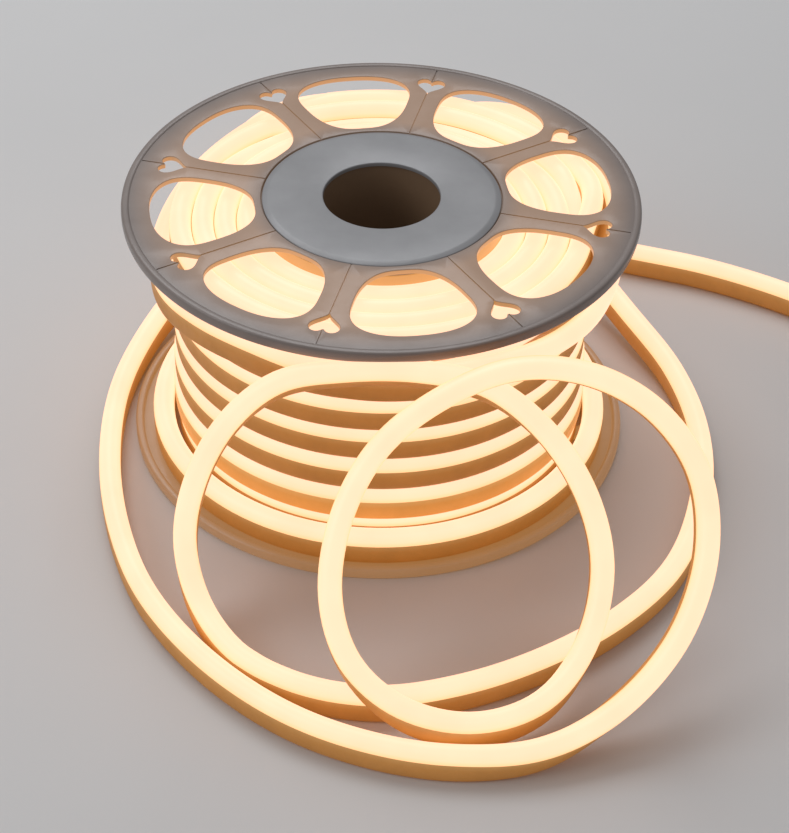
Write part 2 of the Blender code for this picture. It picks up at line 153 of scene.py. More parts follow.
# The wound strip's last turn: degrees about the axis, radius and height of its middle in
# millimetres, and the degrees by which its dome rolls outwards
LAST_TURN = [
    (105, 111.0, 125.5, 0),
    (122, 111.2, 122.5, 0),
    (140, 111.5, 116.0, 0),
    (158, 111.8, 109.5, 0),
    (176, 112.0, 105.8, 0),
    (190, 112.1, 105.2, 0),
    (205, 112.2, 108.3, 0),
    (222, 112.2, 113.4, 0),
    (237, 112.1, 115.4, 0),
    (252, 112.0, 113.0, 0),
    (268, 112.0, 111.3, 0),
    (284, 112.4, 110.8, 6),
    (298, 114.0, 111.4, 28),
    (312, 116.6, 112.2, 54),
    (326, 116.6, 112.0, 62),
    (338, 115.4, 113.2, 62),
    (347.6, 114.8, 115.0, 62),
]

# Degrees past the start of a turn between which it steps up a row, the last one does so, and
# the last one moves out to lie round the others
STEP_UP = (10.0, 50.0)
LAST_STEP_UP = (2.0, 24.0)
MOVE_OUT = (246.0, 274.0)

# Degrees about the axis of the last layer's top row behind the reel, and between which it rises
TOP_ROW = (-4.0, 119.0)
TOP_ROW_RISE = (2.0, 24.0)


def length(name, description, default, low=0.0, high=0.5):
    return FloatProperty(
        name=name, description=description, default=default, min=low, max=high, unit="LENGTH"
    )


def angle(name, description, degrees):
    return FloatProperty(
        name=name, description=description, default=math.radians(degrees), unit="ROTATION"
    )


def colour(name, description, default):
    return FloatVectorProperty(
        name=name, description=description, default=default, subtype="COLOR", min=0.0, max=4.0
    )


def share(name, description, default):
    return FloatProperty(
        name=name, description=description, default=default, min=0.0, max=1.0, subtype="FACTOR"
    )


class NeonStripSettings(bpy.types.PropertyGroup):
    """Section, colours and light of the neon strip."""

    width: length("Width", "Across the opaque channel", 0.0110)
    channel_height: length("Channel height", "From the strip's base to its shoulders", 0.0115)
    dome_height: length("Dome height", "From the shoulders to the crown of the dome", 0.0065)
    spacing: length("Station spacing", "Between two sections along the strip", 0.0040, 0.001)
    crown_light: colour("Crown light", "Light of the dome's crown", (1.45, 0.845, 0.565))
    shoulder_light: colour("Shoulder light", "Light of the dome's foot", (1.35, 0.735, 0.335))
    glow: FloatProperty(
        name="Glow", description="Strength of the dome's light", default=1.0, min=0.0, max=20.0
    )
    side_colour: colour("Side colour", "Opaque silicone of the channel", (0.50, 0.24, 0.07))
    side_glow: share("Side glow", "Light that leaks through the channel's wall", 0.26)


class WindingSettings(bpy.types.PropertyGroup):
    """How the strip is wound on the barrel."""

    turns: IntProperty(name="Turns", description="Turns in a layer", default=7, min=2, max=20)
    layers: IntProperty(name="Layers", description="Full layers", default=4, min=2, max=8)
    turn_gap: length("Turn gap", "Between two turns of a layer", 0.0002)
    top_lift: length("Top lift", "How far the top turns are pressed up to the flange", 0.0036)
    layer_step: length("Layer step", "How much lower each inner layer's top lies", 0.0004)
    back_dip: length("Back dip", "How far the third layer's top dips at the back", 0.0040)
    forward_sag: length("Forward sag", "How far the winding hangs to the front", 0.0012)
    belly: length("Belly", "How far the low turns stand out at the front", 0.0030)


class FlangeSettings(bpy.types.PropertyGroup):
    """Moulded flanges."""

    radius: length("Radius", "Outside the rim", 0.1300)
    plate: length("Plate thickness", "Between the flange's two faces", 0.0028)
    rim_width: length("Rim width", "Radial width of the rounded rim", 0.0044)
    rim_height: length("Rim height", "Height of the rounded rim", 0.0060)
    rim_proud: length("Rim proud", "How far the rim stands above the plate", 0.0006)
    edge: length("Edge radius", "Rounding of the openings' edges", 0.0004)
    window_half_angle: angle("Window half angle", "Half the width of a window", 17.3)
    window_turn: angle("Window turn", "Of the first window about the reel", 9.2)
    heart_width: length("Heart width", "Across a heart's lobes", 0.0150)
    heart_length: length("Heart length", "From a heart's tip to its lobes", 0.0146)
    face: colour("Face colour", "Moulded plastic of the flanges", (0.258, 0.208, 0.184))
    roughness: share("Roughness", "Of the flanges' plastic", 0.46)
    # Painted strip light on the flanges' plastic, laid on as glow
    painted_strip_glow: share("Glow through", "Strip light that the plastic lets through", 0.17)
    # Painted strip light on the walls of the windows and hearts
    painted_wall_glow: share("Wall glow", "Strip light on the walls of the openings", 0.42)


class HubSettings(bpy.types.PropertyGroup):
    """Hub caps, barrel and spindle tube."""

    cap_radius: length("Cap radius", "Of a hub cap's disc", 0.0600)
    bore_radius: length("Bore radius", "Of the spindle hole", 0.0294)
    bevel_width: length("Bevel width", "Of the disc's outer bevel", 0.0028)
    bevel_depth: length("Bevel depth", "Of the disc's outer bevel", 0.0010)
    core_radius: length("Core radius", "Outside the barrel that carries the winding", 0.0617)
    cap_colour: colour("Cap colour", "Grey plastic of the hub caps", (0.315, 0.310, 0.315))
    core_colour: colour("Core colour", "Plastic of barrel and spindle tube", (0.270, 0.170, 0.100))


class StudioSettings(bpy.types.PropertyGroup):
    """Floor, lights and camera."""

    floor_colour: colour("Floor colour", "Plain pale floor", (0.74, 0.73, 0.72))
    daylight: FloatProperty(
        name="Daylight", description="Strength of the even surroundings", default=0.27, min=0.0
    )
    key_power: FloatProperty(
        name="Key power", description="Overhead softbox", default=16.0, min=0.0, unit="POWER"
    )
    side_power: FloatProperty(
        name="Side power", description="Softbox at the left", default=6.0, min=0.0, unit="POWER"
    )
    lens: FloatProperty(name="Lens", description="Focal length", default=102.16, unit="CAMERA")
    distance: length("Distance", "From the camera to the upper flange", 1.12515, 0.1, 10.0)
    elevation: angle("Elevation", "Of the camera above the upper flange", 33.70)
    tilt: angle("Tilt", "Of the camera off the flange's middle", 5.65)
    pan: angle("Pan", "Of the camera off the flange's middle", 0.41)
    roll: angle("Roll", "Of the camera about its own axis", -0.87)


# ---------------------------------------------------------------- materials


class Finish:
    """A procedural material on Object coordinates, put together node by node."""

    def __init__(self, name, base, roughness):
        self.material = bpy.data.materials.new(name)
        self.material.use_nodes = True
        self.nodes = self.material.node_tree.nodes
        self.links = self.material.node_tree.links
        self.shader = self.nodes["Principled BSDF"]
        self.shader.inputs["Base Color"].default_value = (*base, 1.0)
        self.shader.inputs["Roughness"].default_value = roughness
        self.coords = self.nodes.new("ShaderNodeTexCoord").outputs["Object"]

    def noise(self, scale, detail=3.0, roughness=0.5):
        """Noise of this many features a metre."""
        node = self.nodes.new("ShaderNodeTexNoise")
        node.inputs["Scale"].default_value = scale
        node.inputs["Detail"].default_value = detail
        node.inputs["Roughness"].default_value = roughness
        self.links.new(self.coords, node.inputs["Vector"])
        return node.outputs["Fac"]

    def height(self):
        """Height above the floor, in metres."""
        parts = self.nodes.new("ShaderNodeSeparateXYZ")
        self.links.new(self.coords, parts.inputs[0])
        return parts.outputs["Z"]

    def from_axis(self, reach):
        """Distance from the reel's axis, 1 at this reach."""
        flat = self.nodes.new("ShaderNodeVectorMath")
        flat.operation = "MULTIPLY"
        flat.inputs[1].default_value = (1 / reach, 1 / reach, 0.0)
        self.links.new(self.coords, flat.inputs[0])
        far = self.nodes.new("ShaderNodeVectorMath")
        far.operation = "LENGTH"
        self.links.new(flat.outputs["Vector"], far.inputs[0])
        return far.outputs["Value"]

    def attribute(self, name):
        """A value that the mesh holds at its points."""
        node = self.nodes.new("ShaderNodeAttribute")
        node.attribute_name = name
        return node.outputs["Fac"]

    def ramp(self, value, stops):
        """Colours at places from 0 to 1 of a value."""
        node = self.nodes.new("ShaderNodeValToRGB")
        while len(node.color_ramp.elements) < len(stops):
            node.color_ramp.elements.new(0.5)
        for element, (place, shade) in zip(node.color_ramp.elements, stops):
            element.position = place
            element.color = (*shade, 1.0)
        self.links.new(value, node.inputs["Fac"])
        return node.outputs["Color"]

    def spread(self, value, low, high, start=0.3, end=0.7):
        """A value between start and end, laid out from low to high."""
        node = self.nodes.new("ShaderNodeMapRange")
        for label, number in (
            ("From Min", start), ("From Max", end), ("To Min", low), ("To Max", high)
        ):
            node.inputs[label].default_value = number
        self.links.new(value, node.inputs["Value"])
        return node.outputs["Result"]

    def product(self, first, second):
        """One colour multiplied by another."""
        node = self.nodes.new("ShaderNodeMix")
        node.data_type = "RGBA"
        node.blend_type = "MULTIPLY"
        sockets = {s.name: s for s in node.inputs if s.enabled}
        sockets["Factor"].default_value = 1.0
        self.links.new(first, sockets["A"])
        self.links.new(second, sockets["B"])
        return next(s for s in node.outputs if s.enabled)

    def bump(self, *layers):
        """Bump from (height, strength, distance in metres) layers, the first one lowest."""
        normal = None
        for height, strength, distance in layers:
            node = self.nodes.new("ShaderNodeBump")
            node.inputs["Strength"].default_value = strength
            node.inputs["Distance"].default_value = distance
            self.links.new(height, node.inputs["Height"])
            if normal:
                self.links.new(normal, node.inputs["Normal"])
            normal = node.outputs["Normal"]
        self.links.new(normal, self.shader.inputs["Normal"])

    def set(self, label, value):
        """Gives the shader's socket a value or a link."""
        if isinstance(value, bpy.types.NodeSocket):
            self.links.new(value, self.shader.inputs[label])
        else:
            self.shader.inputs[label].default_value = value


def mottled(base, low, high):
    """Ramp stops from a darker to a lighter shade of a colour."""
    return [(0.3, tuple(c * low for c in base)), (0.7, tuple(min(c * high, 1.0) for c in base))]


def moulded_plastic(name, base, roughness, grain=0.5, glow=0.0, bands=()):
    """Moulded plastic: soft mottling and a fine spark-eroded grain. It may glow with painted strip
    light, as strongly as the (radius in metres, share) bands say."""
    finish = Finish(name, base, roughness)
    cloud = finish.noise(26.0, 4.0, 0.55)
    finish.set("Base Color", finish.ramp(cloud, mottled(base, 0.88, 1.10)))
    fine = finish.noise(2600.0, 2.0, 0.6)
    finish.set("Roughness", finish.spread(finish.noise(140.0), roughness - 0.06, roughness + 0.06))
    finish.bump((finish.noise(420.0, 2.0), 0.06, 0.0004), (fine, grain, 0.00006))
    if bands:
        # Painted light: the strip's orange light laid on the plastic by distance from the axis
        stops = [(r / 0.14, (part, 0.46 * part, 0.12 * part)) for r, part in bands]
        finish.set("Emission Color", finish.ramp(finish.from_axis(0.14), stops))
        finish.set("Emission Strength", glow)
    finish.set("Coat Weight", 0.45)
    finish.set("Coat Roughness", 0.17)
    return finish.material


def glowing_silicone(strip):
    """Translucent silicone dome, lit from inside: cream at the crown, more amber at its foot."""
    finish = Finish("glowing_silicone", (0.10, 0.075, 0.05), 0.45)
    height = finish.spread(
        finish.attribute("rise"), 0.0, 1.0,
        strip.channel_height, strip.channel_height + strip.dome_height,
    )
    foot, crown = tuple(strip.shoulder_light), tuple(strip.crown_light)
    middle = tuple(0.25 * a + 0.75 * b for a, b in zip(foot, crown))
    light = finish.ramp(height, [(0.0, foot), (0.35, middle), (0.8, crown)])
    drift = finish.ramp(
        finish.noise(34.0, 2.0), [(0.3, (0.95, 0.94, 0.92)), (0.7, (1.0, 1.0, 1.0))]
    )
    finish.set("Emission Color", finish.product(light, drift))
    finish.set("Emission Strength", strip.glow)
    finish.bump((finish.noise(900.0, 2.0), 0.05, 0.0002))
    return finish.material


def opaque_silicone(name, strip, painted_low_light=False):
    """Opaque silicone channel, warmer near the dome where light leaks through its wall. On the reel
    the second turn's side may carry a band of painted light, which stands in for the light of the
    wide bottom turn under it."""
    base = tuple(strip.side_colour)
    finish = Finish(name, base, 0.5)
    height = finish.spread(finish.attribute("rise"), 0.0, 1.0, 0.0, strip.channel_height)
    finish.set("Base Color", finish.ramp(finish.noise(60.0, 4.0, 0.6), mottled(base, 0.86, 1.08)))
    leak = [(0.0, (0.45, 0.16, 0.02)), (0.7, (0.75, 0.30, 0.05)), (1.0, (1.0, 0.52, 0.16))]
    finish.set("Emission Color", finish.ramp(height, leak))
    strength = strip.side_glow
    if painted_low_light:
        # Painted light: a band of extra glow low on the reel, on the second turn's side above the
        # bottom turn's dome
        low = finish.spread(finish.height(), 0.0, 1.0, 0.0, 0.05)
        lit = [(0.42, (0, 0, 0)), (0.45, (1, 1, 1)), (0.66, (0.35, 0.35, 0.35)), (0.72, (0, 0, 0))]
        strength = finish.spread(finish.ramp(low, lit), strength, 3.0 * strength, 0.0, 1.0)
    finish.set("Emission Strength", strength)
    finish.set("Roughness", finish.spread(finish.noise(220.0), 0.44, 0.60))
    finish.bump(
        (finish.noise(70.0, 2.0), 0.10, 0.0006),
        (finish.noise(1500.0, 2.0, 0.6), 0.30, 0.00008),
    )
    return finish.material


# ---------------------------------------------------------------- shapes


def new_object(name, mesh, *materials):
    obj = bpy.data.objects.new(name, mesh)
    bpy.context.scene.collection.objects.link(obj)
    for made in materials:
        mesh.materials.append(made)
    return obj


def smoothed(mesh, degrees=32.0):
    mesh.shade_smooth()
    mesh.set_sharp_from_angle(angle=math.radians(degrees))
    return mesh


def mesh_from(name, work, matrix=None, recalculate=True):
    """A mesh of this bmesh, moved by the matrix, with its faces turned outwards."""
    if matrix:
        bmesh.ops.transform(work, matrix=matrix, verts=work.verts)
    if recalculate:
        bmesh.ops.recalc_face_normals(work, faces=work.faces)
    mesh = bpy.data.meshes.new(name)
    work.to_mesh(mesh)
    work.free()
    return mesh


def filleted(corners, steps=4):
    """A closed section through (r, z, radius) corners, each rounded by its own radius."""
    points = []
    count = len(corners)
    for i, (r, z, radius) in enumerate(corners):
        here = Vector((r, z))
        before = Vector(corners[i - 1][:2]) - here
        after = Vector(corners[(i + 1) % count][:2]) - here
        if radius <= 0.0:
            points.append(here)
            continue
        reach = min(radius, 0.48 * before.length, 0.48 * after.length)
        start, end = here + before.normalized() * reach, here + after.normalized() * reach
        for k in range(steps + 1):
            t = k / steps
            points.append(start.lerp(here, t).lerp(here.lerp(end, t), t))
    return points


def lathe(work, section, segments):
    """Adds a ring with this (r, z) section to a bmesh."""
    rings = []
    for i in range(segments):
        turn = 2 * math.pi * i / segments
        across, along = math.cos(turn), math.sin(turn)
        rings.append([work.verts.new((r * across, r * along, z)) for r, z in section])
    for i, ring in enumerate(rings):
        following = rings[(i + 1) % segments]
        for j in range(len(ring)):
            k = (j + 1) % len(ring)
            work.faces.new((ring[j], following[j], following[k], ring[k]))


def evaluated_mesh(obj, name):
    """A plain mesh of the object as its modifiers leave it. The object is removed."""
    graph = bpy.context.evaluated_depsgraph_get()
    mesh = bpy.data.meshes.new_from_object(obj.evaluated_get(graph))
    mesh.name = name
    bpy.data.objects.remove(obj, do_unlink=True)
    return mesh


def finished(piece, nodes):
    """Puts a piece on the reel's body in place of its CAD nodes."""
    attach(piece, "root")
    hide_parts(*nodes)
    return piece


# ---------------------------------------------------------------- strip


def curve_through(points, steps):
    """Samples of a centripetal Catmull-Rom curve through the points, as many between each two."""
    ends = [2 * points[0] - points[1], *points, 2 * points[-1] - points[-2]]
    samples = []
    for p0, p1, p2, p3 in zip(ends, ends[1:], ends[2:], ends[3:]):
        t1 = math.sqrt((p1 - p0).length)
        t2 = t1 + math.sqrt((p2 - p1).length)
        t3 = t2 + math.sqrt((p3 - p2).length)
        for k in range(steps):
            t = t1 + (t2 - t1) * k / steps
            a1 = p0.lerp(p1, t / t1)
            a2 = p1.lerp(p2, (t - t1) / (t2 - t1))
            a3 = p2.lerp(p3, (t - t2) / (t3 - t2))
            b1 = a1.lerp(a2, t / t2)
            b2 = a2.lerp(a3, (t - t1) / (t3 - t1))
            samples.append(b1.lerp(b2, (t - t1) / (t2 - t1)))
    return [*samples, points[-1]]


def evenly(points, ups, spacing):
    """Stations at even spacing on a fine line, each with its smoothed and squared up direction."""
    run = [0.0]
    for a, b in zip(points, points[1:]):
        run.append(run[-1] + (b - a).length)
    count = max(2, round(run[-1] / spacing) + 1)
    places, faces, i = [], [], 0
    for k in range(count):
        wanted = run[-1] * k / (count - 1)
        while i < len(points) - 2 and run[i + 1] < wanted:
            i += 1
        part = min((wanted - run[i]) / (run[i + 1] - run[i]), 1.0)
        places.append(points[i].lerp(points[i + 1], part))
        faces.append(ups[i].lerp(ups[i + 1], part))
    for _ in range(6):
        faces = [
            faces[0],
            *((a + 2 * b + c) / 4 for a, b, c in zip(faces, faces[1:], faces[2:])),
            faces[-1],
        ]
    squared = []
    for k, up in enumerate(faces):
        heading = (places[min(k + 1, count - 1)] - places[max(k - 1, 0)]).normalized()
        squared.append((up - up.dot(heading) * heading).normalized())
    return places, squared


def ease(low, high, value):
    part = min(max((value - low) / (high - low), 0.0), 1.0)
    return part * part * (3 - 2 * part)


class Tree:
    """A Geometry Nodes tree with named inputs, put together node by node."""

    def __init__(self, name, inputs):
        self.tree = bpy.data.node_groups.new(name, "GeometryNodeTree")
        face = self.tree.interface
        face.new_socket("Geometry", in_out="INPUT", socket_type="NodeSocketGeometry")
        face.new_socket("Geometry", in_out="OUTPUT", socket_type="NodeSocketGeometry")
        for label, kind, default in inputs:
            socket = face.new_socket(label, in_out="INPUT", socket_type=kind)
            if default is not None:
                socket.default_value = default
        self.given = self.tree.nodes.new("NodeGroupInput").outputs
        self.end = self.tree.nodes.new("NodeGroupOutput")

    def add(self, kind, settings=None, **inputs):
        """A node with its settings and, by socket name, its values or links."""
        node = self.tree.nodes.new(kind)
        for key, value in (settings or {}).items():
            setattr(node, key, value)
        for label, value in inputs.items():
            sockets = [s for s in node.inputs if s.enabled]
            named = [s for s in sockets if s.name.replace(" ", "_") == label]
            socket = named[0] if named else sockets[int(label[1:])]
            if isinstance(value, bpy.types.NodeSocket):
                self.tree.links.new(value, socket)
            else:
                socket.default_value = value
        return next(s for s in node.outputs if s.enabled)

    def math(self, operation, first, second=None):
        values = {"_0": first} if second is None else {"_0": first, "_1": second}
        return self.add("ShaderNodeMath", {"operation": operation}, **values)

    def identifiers(self):
        return {s.name: s.identifier for s in self.tree.interface.items_tree if s.in_out == "INPUT"}


def strip_tree():
    """Sweeps the strip's section along lines whose points hold the way the dome faces."""
    made = Tree(
        "neon_strip_sweep",
        [
            ("Width", "NodeSocketFloat", 0.011),
            ("Channel height", "NodeSocketFloat", 0.0115),
            ("Dome height", "NodeSocketFloat", 0.0065),
            ("Corner squareness", "NodeSocketFloat", 0.25),
            ("Section points", "NodeSocketInt", 28),
            ("Channel", "NodeSocketMaterial", None),
            ("Dome", "NodeSocketMaterial", None),
        ],
    )
    given, math_of, add = made.given, made.math, made.add
    count = given["Section points"]
    turn = math_of("DIVIDE", math_of("MULTIPLY", add("GeometryNodeInputIndex"), math.tau), count)
    sine, cosine = math_of("SINE", turn), math_of("COSINE", turn)
    square = given["Corner squareness"]
    low_sine = math_of("POWER", math_of("ABSOLUTE", sine), square)
    low_cosine = math_of("POWER", math_of("ABSOLUTE", cosine), square)
    side = math_of("SIGN", cosine)
    in_dome = math_of("GREATER_THAN", sine, 0.001)
    channel = given["Channel height"]
    dome_rise = math_of("ADD", channel, math_of("MULTIPLY", given["Dome height"], sine))
    channel_rise = math_of("MULTIPLY", channel, math_of("SUBTRACT", 1.0, low_sine))
    rise = add("ShaderNodeMix", {"data_type": "FLOAT"}, _0=in_dome, _1=channel_rise, _2=dome_rise)
    half = math_of("MULTIPLY", given["Width"], 0.5)
    low_across = math_of("MULTIPLY", side, low_cosine)
    dome_across = math_of("MULTIPLY", cosine, 0.965)
    reach = add("ShaderNodeMix", {"data_type": "FLOAT"}, _0=in_dome, _1=low_across, _2=dome_across)
    across = math_of("MULTIPLY", half, reach)
    middle = math_of("MULTIPLY", math_of("ADD", channel, given["Dome height"]), 0.5)
    place = add("ShaderNodeCombineXYZ", X=math_of("SUBTRACT", rise, middle), Y=across)
    ring = add("GeometryNodeMeshCircle", Vertices=count)
    ring = add("GeometryNodeStoreNamedAttribute", Geometry=ring, Name="rise", Value=rise)
    ring = add("GeometryNodeSetPosition", Geometry=ring, Position=place)
    section = add("GeometryNodeMeshToCurve", Mesh=ring)
    up = add("GeometryNodeInputNamedAttribute", {"data_type": "FLOAT_VECTOR"}, Name="up")
    line = add("GeometryNodeMeshToCurve", Mesh=given["Geometry"])
    line = add("GeometryNodeSetCurveNormal", {"mode": "FREE"}, Curve=line, Normal=up)
    swept = add("GeometryNodeCurveToMesh", Curve=line, Profile_Curve=section, Fill_Caps=True)
    swept = add("GeometryNodeSetShadeSmooth", Geometry=swept)
    swept = add("GeometryNodeRealizeInstances", Geometry=swept)
    height = add("GeometryNodeInputNamedAttribute", Name="rise")
    lit = add("FunctionNodeCompare", {"operation": "GREATER_THAN"}, A=height, B=channel)
    swept = add("GeometryNodeSetMaterial", Geometry=swept, Material=given["Channel"])
    swept = add("GeometryNodeSetMaterial", Geometry=swept, Selection=lit, Material=given["Dome"])
    made.tree.links.new(swept, made.end.inputs[0])
    return made


def swept_strip(name, lines, strip, channel, section_points=28):
    """The strip along each (places, ups, closed) line, as one plain mesh object."""
    places, ups, edges = [], [], []
    for line_places, line_ups, closed in lines:
        first = len(places)
        places += line_places
        ups += line_ups
        edges += [(first + i, first + i + 1) for i in range(len(line_places) - 1)]
        if closed:
            edges.append((len(places) - 1, first))
    mesh = bpy.data.meshes.new(name)
    mesh.from_pydata(places, edges, [])
    facing = mesh.attributes.new("up", "FLOAT_VECTOR", "POINT")
    facing.data.foreach_set("vector", [c for up in ups for c in up])
    obj = new_object(name, mesh)
    dome = bpy.data.materials.get("glowing_silicone") or glowing_silicone(strip)
    made = strip_tree()
    keys = made.identifiers()
    modifier = obj.modifiers.new("sweep", "NODES")
    modifier.node_group = made.tree
    for label, value in (
        ("Width", strip.width),
        ("Channel height", strip.channel_height),
        ("Dome height", strip.dome_height),
        ("Section points", section_points),
        ("Channel", channel),
        ("Dome", dome),
    ):
        modifier[keys[label]] = value
    return new_object(name, evaluated_mesh(obj, name))


def layer_middle(strip, layer):
    """Radius of the middle of a layer of the winding."""
    return FIRST_LAYER + layer * (strip.width + LAYER_GAP) + strip.width / 2


def winding_lines(strip, winding, flange):
    """Lines of the wound strip: layers, the wide bottom turn and the turn that leaves."""
    height = strip.channel_height + strip.dome_height
    base = flange.rim_proud + flange.plate + FIT + height / 2
    pitch = height + winding.turn_gap
    top = base + (winding.turns - 1) * pitch + winding.top_lift
    span = winding.layers * (strip.width + LAYER_GAP)

    def at(radius, degrees, z, belly=0.0):
        """A place on a turn, with the winding's sag to the front."""
        turn = math.radians(degrees)
        reach = radius - winding.forward_sag * math.sin(turn) * (radius - FIRST_LAYER) / span
        reach += belly * (1 - math.sin(turn)) / 2
        return Vector((reach * math.cos(turn), reach * math.sin(turn), z))

    def ring(radius, z, dip=0.0, belly=0.0):
        """A whole turn, which may dip at the back and stand out at the front."""
        angles = [3.0 * i for i in range(120)]
        places = [
            at(radius, a, z - dip * ease(0.2, 0.9, math.sin(math.radians(a))), belly)
            for a in angles
        ]
        return places, [Vector(UP)] * 120, True

    lines = []
    for layer in range(winding.layers - 1):
        drop = winding.layer_step * (winding.layers - 1 - layer)
        dip = winding.back_dip if layer == winding.layers - 2 else 0.0
        radius = layer_middle(strip, layer)
        lines += [
            ring(radius, top - drop, dip),
            ring(radius, top - drop - pitch, dip),
            ring(radius, base),
        ]
    outer = layer_middle(strip, winding.layers - 1)
    beyond = layer_middle(strip, winding.layers)
    lines.append(ring(beyond, base, belly=1.3 * winding.belly))
    # The last layer's top row, where the last turn already lies outside it
    row = []
    for i in range(42):
        degrees = TOP_ROW[0] + (TOP_ROW[1] - TOP_ROW[0]) * i / 41
        row.append(at(outer, degrees, top - pitch + pitch * ease(*TOP_ROW_RISE, degrees)))
    lines.append((*evenly(row, [Vector(UP)] * len(row), strip.spacing), False))

    # The last layer, row by row, up to the turn that leaves the reel
    fine, ups = [], []
    seam = LAST_TURN[0][0]
    start, end = seam + STEP_UP[1], 360.0 * winding.turns + seam
    steps = round((end - start) / 1.5)
    for i in range(steps):
        total = start + (end - start) * i / steps
        turn, local = divmod(total - seam, 360.0)
        last = turn == winding.turns - 1
        rise = turn - 1 + ease(*(LAST_STEP_UP if last else STEP_UP), local)
        radius = outer + last * (beyond - outer) * ease(*MOVE_OUT, local)
        belly = max(0.0, 1 - abs(rise - 1)) + 0.5 * max(0.0, 1 - abs(rise - 2))
        lift = winding.top_lift * ease(winding.turns - 2, winding.turns - 1, rise)
        z = base + pitch * rise + lift
        fine.append(at(radius, total, z, belly * winding.belly))
        ups.append(Vector(UP))
    points, faces = [], []
    for degrees, radius, z, roll in LAST_TURN:
        turn, tilt = math.radians(degrees), math.radians(roll)
        outwards = Vector((math.cos(turn), math.sin(turn), 0.0))
        points.append((outwards * radius + Vector(UP) * z) / 1000)
        faces.append(Vector(UP) * math.cos(tilt) + outwards * math.sin(tilt))
    fine += curve_through(points, 8)
    ups += [a.lerp(b, k / 8) for a, b in zip(faces, faces[1:]) for k in range(8)] + [faces[-1]]
    places, squared = evenly(fine, ups, strip.spacing)
    lines.append((places, squared, False))
    return lines


# ---------------------------------------------------------------- flange


def window_outline(middle, half, half_angle, count=96):
    """One window about +X: a rounded trapezoid between two radii, wider towards the rim."""
    outline = []
    for i in range(count):
        t = math.tau * (i + 0.5) / count
        along = math.copysign(abs(math.cos(t)) ** (2 / 2.7), math.cos(t))
        across = math.copysign(abs(math.sin(t)) ** (2 / 2.7), math.sin(t))
        turn = half_angle * (1 + 0.07 * along) * across
        reach = middle + half * along
        outline.append(Vector((reach * math.cos(turn), reach * math.sin(turn))))
    return outline


def heart_outline(outer, width, depth, count=56):
    """One heart about +X, its tip towards the hub and its lobes towards the rim."""
    raw = []
    for i in range(count):
        t = 0.34 + (math.tau - 0.68) * i / (count - 1)
        along = 13 * math.cos(t) - 5 * math.cos(2 * t) - 2 * math.cos(3 * t) - math.cos(4 * t)
        raw.append((along, 16 * math.sin(t) ** 3))
    low, high = min(p[0] for p in raw), max(p[0] for p in raw)
    scale = depth / (high - low)
    return [Vector((outer + (a - high) * scale, b * width / 32)) for a, b in raw]


def circle_outline(radius, count=256):
    steps = (math.tau * i / count for i in range(count))
    return [Vector((radius * math.cos(t), radius * math.sin(t))) for t in steps]


def inside(point, outline):
    """True if the point lies within the closed outline."""
    found = False
    for a, b in zip(outline, [*outline[1:], outline[0]]):
        if (a.y > point.y) != (b.y > point.y):
            if point.x < a.x + (b.x - a.x) * (point.y - a.y) / (b.y - a.y):
                found = not found
    return found


def set_back(outline, distance):
    """The closed outline moved sideways, to its left for a positive distance."""
    moved = []
    count = len(outline)
    for i, here in enumerate(outline):
        along = (outline[(i + 1) % count] - outline[i - 1]).normalized()
        moved.append(here + Vector((-along.y, along.x)) * distance)
    return moved


def plate_mesh(rim, holes, low, high, edge):
    """A flat plate between two heights with rounded edges, from its rim and its holes."""
    work = bmesh.new()
    faces_2d, points_2d, bands = [], [], []
    for outline, sign in [(rim, 1.0), *((hole, -1.0) for hole in holes)]:
        flat = set_back(outline, sign * edge)
        first = len(points_2d)
        points_2d += flat
        count = len(flat)
        faces_2d += [(first + i, first + (i + 1) % count) for i in range(count)]
        bands.append((outline, sign, flat))
    made = delaunay_2d_cdt(points_2d, faces_2d, [], 0, 1e-9)
    places, triangles = made[0], made[2]
    around = []
    for _, sign, flat in bands[1:]:
        centre = sum(flat, Vector((0.0, 0.0))) / len(flat)
        around.append((centre, max((p - centre).length for p in flat), flat))
    kept = []
    for triangle in triangles:
        middle = sum((places[i] for i in triangle), Vector((0.0, 0.0))) / 3
        holed = any(
            (middle - centre).length < reach and inside(middle, flat)
            for centre, reach, flat in around
        )
        if not holed:
            kept.append(triangle)
    for z, turned in ((low, True), (high, False)):
        verts = [work.verts.new((p.x, p.y, z)) for p in places]
        for triangle in kept:
            corners = [verts[i] for i in triangle]
            work.faces.new(corners[::-1] if turned else corners)
    steps = 4
    for outline, sign, _ in bands:
        rows = []
        quarter = [math.pi / 2 * k / steps for k in range(steps + 1)]
        section = [(1 - math.sin(a), low + edge * (1 - math.cos(a))) for a in quarter]
        section += [(1 - math.sin(a), high - edge * (1 - math.cos(a))) for a in reversed(quarter)]
        for part, z in section:
            flat = set_back(outline, sign * edge * part)
            rows.append([work.verts.new((p.x, p.y, z)) for p in flat])
        for row, above in zip(rows, rows[1:]):
            for i in range(len(row)):
                j = (i + 1) % len(row)
                work.faces.new((row[i], row[j], above[j], above[i]))
    bmesh.ops.remove_doubles(work, verts=work.verts, dist=2e-6)
    loose = [v for v in work.verts if not v.link_faces]
    bmesh.ops.delete(work, geom=loose, context="VERTS")
    return mesh_from("plate", work)


